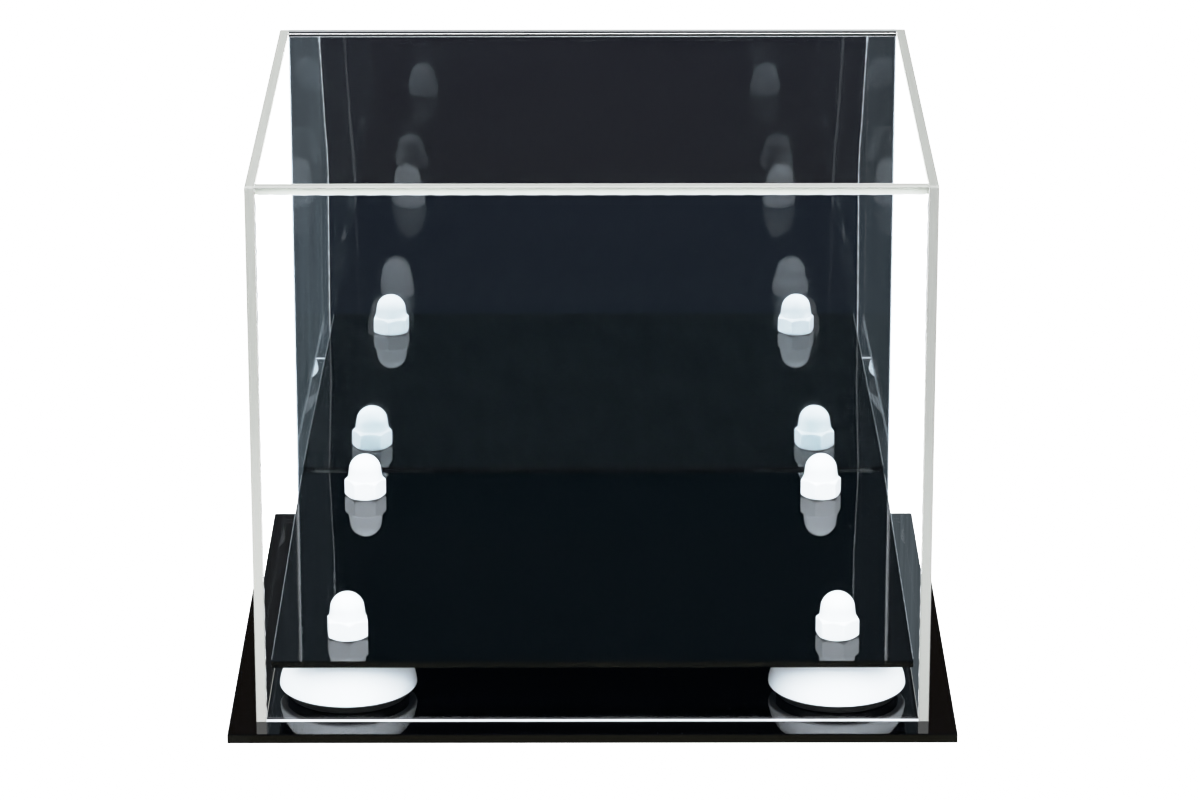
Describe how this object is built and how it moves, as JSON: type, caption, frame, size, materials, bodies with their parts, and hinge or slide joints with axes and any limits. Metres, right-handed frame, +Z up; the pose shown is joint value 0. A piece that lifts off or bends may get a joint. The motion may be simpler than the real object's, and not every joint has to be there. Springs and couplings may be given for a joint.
{
  "type": "cap display case",
  "caption": "Display case for a cap: a clear cover with a mirror on its back wall lifts off a black base, over a raised platform on domed risers held by cap nuts.",
  "frame": {"origin": "bottom centre of the base plate, on the surface it stands on", "axes": "+Z up, +Y from the front towards the mirror, +X to the right of someone facing the front"},
  "size_m": [0.2334, 0.2092, 0.1822],
  "materials": {
    "black_acrylic": "polished",
    "clear_acrylic": "polished",
    "acrylic_mirror": "polished",
    "white_nylon": "gloss",
    "pad_rubber": "matte",
    "zinc_steel": "satin",
    "foam_tape": "matte"
  },
  "bodies": {
    "stand": {"base_plate": "black_acrylic", "platform": "black_acrylic", "riser_pad_front_left": "pad_rubber", "riser_front_left": "white_nylon", "base_screw_front_left": "zinc_steel", "stud_front_left": "zinc_steel", "cap_nut_front_left": "white_nylon", "riser_pad_front_right": "pad_rubber", "riser_front_right": "white_nylon", "base_screw_front_right": "zinc_steel", "stud_front_right": "zinc_steel", "cap_nut_front_right": "white_nylon", "riser_pad_rear_left": "pad_rubber", "riser_rear_left": "white_nylon", "base_screw_rear_left": "zinc_steel", "stud_rear_left": "zinc_steel", "cap_nut_rear_left": "white_nylon", "riser_pad_rear_right": "pad_rubber", "riser_rear_right": "white_nylon", "base_screw_rear_right": "zinc_steel", "stud_rear_right": "zinc_steel", "cap_nut_rear_right": "white_nylon"},
    "cover": {"cover_left": "clear_acrylic", "cover_right": "clear_acrylic", "cover_top": "clear_acrylic", "cover_front": "clear_acrylic", "cover_back": "clear_acrylic", "mirror_panel": "acrylic_mirror", "mirror_tape_left": "foam_tape", "mirror_tape_right": "foam_tape"}
  },
  "joints": [
    {"name": "cover_lift", "type": "slide", "parent": "stand", "child": "cover", "axis": [0, 0, 1], "range_m": [0, 0.2]}
  ]
}
